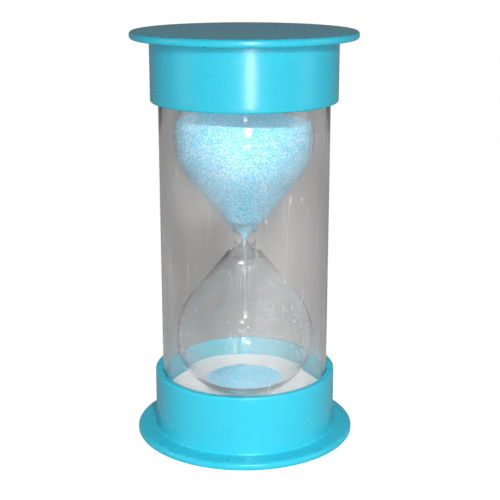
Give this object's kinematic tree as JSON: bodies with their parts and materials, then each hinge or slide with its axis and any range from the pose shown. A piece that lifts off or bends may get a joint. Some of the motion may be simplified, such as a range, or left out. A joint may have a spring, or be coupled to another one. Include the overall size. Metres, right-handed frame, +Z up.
{
  "type": "hourglass",
  "caption": "Sand hourglass: glass bulb with pale blue glitter sand inside a clear tube, held between two flanged turquoise plastic caps.",
  "frame": {"origin": "centre of the flat underside of the bottom cap, where the hourglass stands", "axes": "+Z up along the axis of the tube and the bulb; +X and +Y are any pair across it, because everything is round"},
  "size_m": [0.0866, 0.0866, 0.16],
  "materials": {
    "cap_plastic": "gloss",
    "clear_plastic": "gloss",
    "bulb_glass": "polished",
    "white_foam": "matte",
    "stopper_rubber": "matte",
    "glitter_sand": "satin"
  },
  "bodies": {
    "root": {"bottom_cap": "cap_plastic", "top_cap": "cap_plastic", "outer_tube": "clear_plastic", "bottom_seat": "white_foam", "top_seat": "white_foam", "glass_bulb": "bulb_glass", "fill_plug": "stopper_rubber", "upper_sand": "glitter_sand", "sand_stream": "glitter_sand", "lower_sand": "glitter_sand"}
  },
  "joints": []
}
